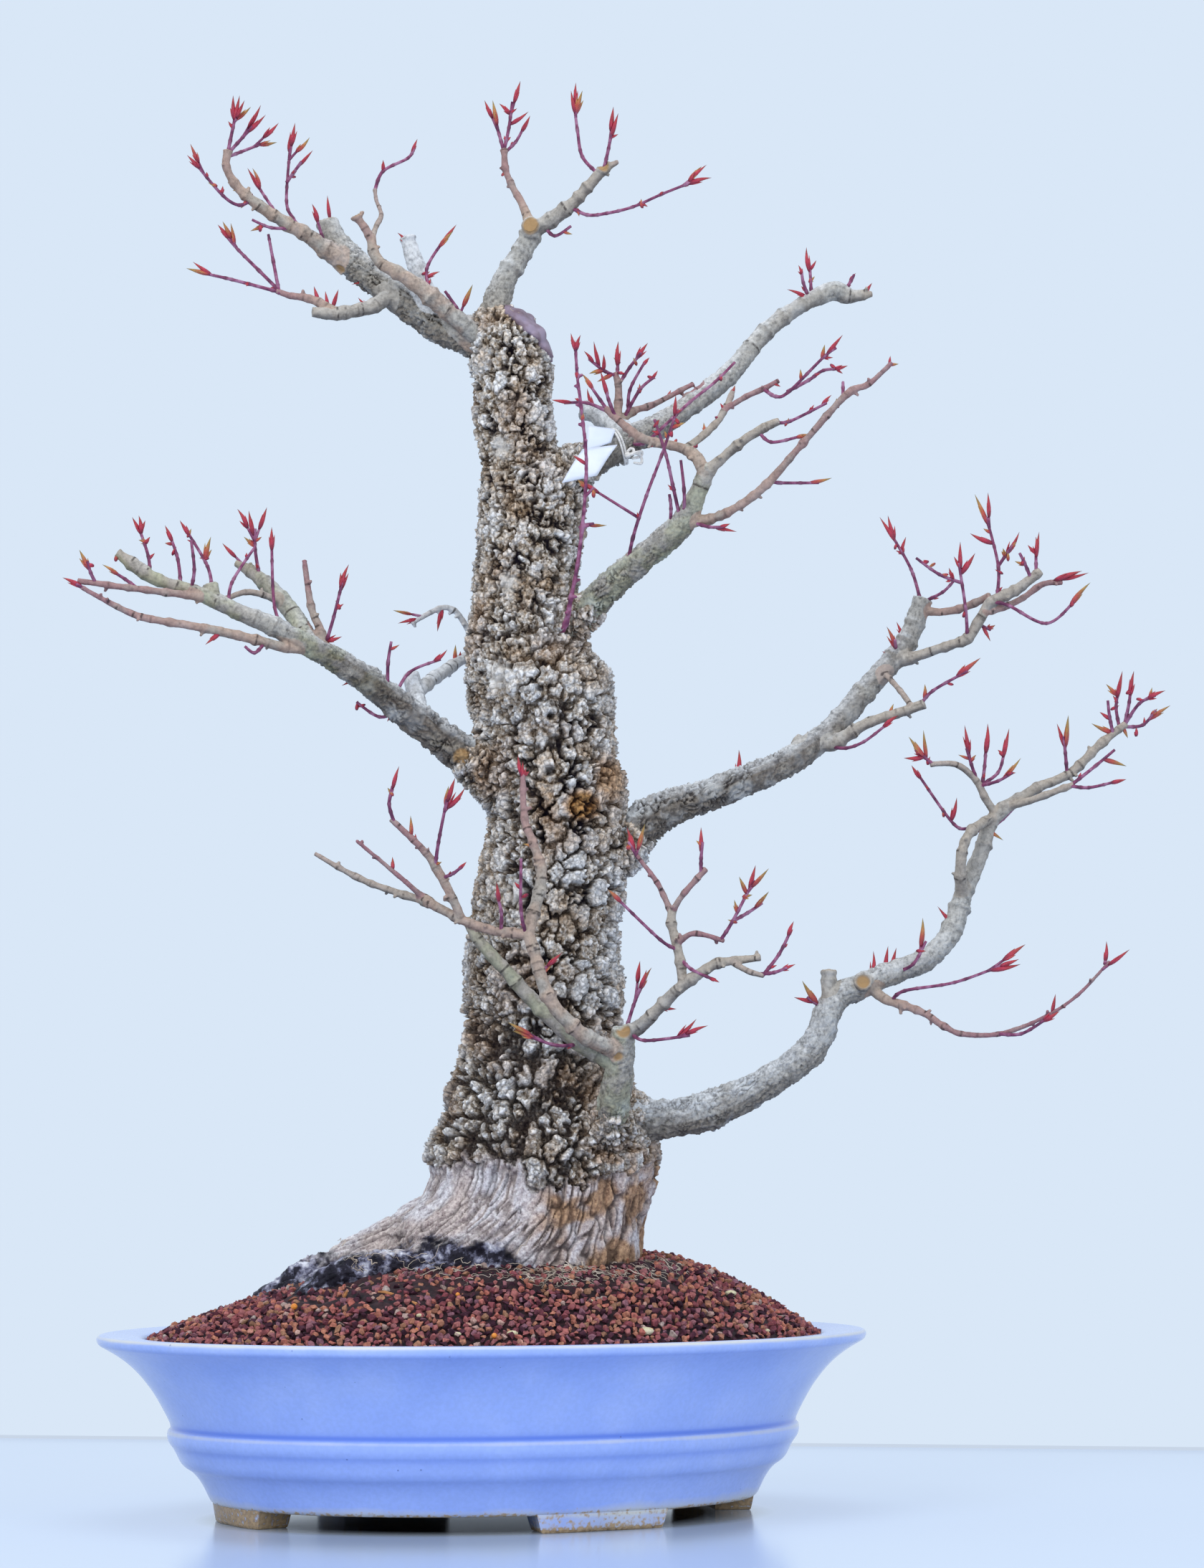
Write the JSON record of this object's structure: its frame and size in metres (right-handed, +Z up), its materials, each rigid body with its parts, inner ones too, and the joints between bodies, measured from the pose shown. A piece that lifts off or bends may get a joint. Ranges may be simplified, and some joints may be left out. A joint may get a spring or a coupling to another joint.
{
  "type": "bonsai tree in pot",
  "caption": "Old leafless maple bonsai with corky trunk, spreading limbs and red buds, in an oval blue glazed pot with a flared lip and feet.",
  "frame": {"origin": "on the ground, under the middle of the object's bounding box; the pot's middle is 82 mm to its left", "axes": "+Z up, -Y towards the tree's front, +X to the right seen from the front"},
  "size_m": [0.6669, 0.3922, 0.8712],
  "materials": {
    "lavender_blue_glaze": "glossy lavender-blue glaze over brown stoneware",
    "soil_granules": "moist fired clay and lava granules",
    "corky_bark": "rough corky bark",
    "limb_bark": "grey to olive limb bark",
    "red_shoot": "smooth purple-red young shoot",
    "wound_paste": "dried wound paste",
    "label_card": "white card",
    "white_cord": "soft white cord",
    "drain_mesh_plastic": "black plastic mesh",
    "aluminium_wire": "brown anodised wire"
  },
  "bodies": {
    "root": {"pot": "lavender_blue_glaze", "soil": "soil_granules", "trunk": "corky_bark", "crown_left_limb": "limb_bark", "crown_leader": "limb_bark", "upper_right_back_limb": "limb_bark", "upper_right_front_limb": "limb_bark", "left_limb": "limb_bark", "right_limb": "limb_bark", "low_right_limb": "limb_bark", "front_limb": "limb_bark", "front_shoot": "red_shoot", "wound_paste": "wound_paste", "label": "label_card", "label_tie": "white_cord", "drain_mesh_1": "drain_mesh_plastic", "drain_mesh_2": "drain_mesh_plastic", "mesh_clip_1": "aluminium_wire", "mesh_clip_2": "aluminium_wire"}
  },
  "joints": []
}
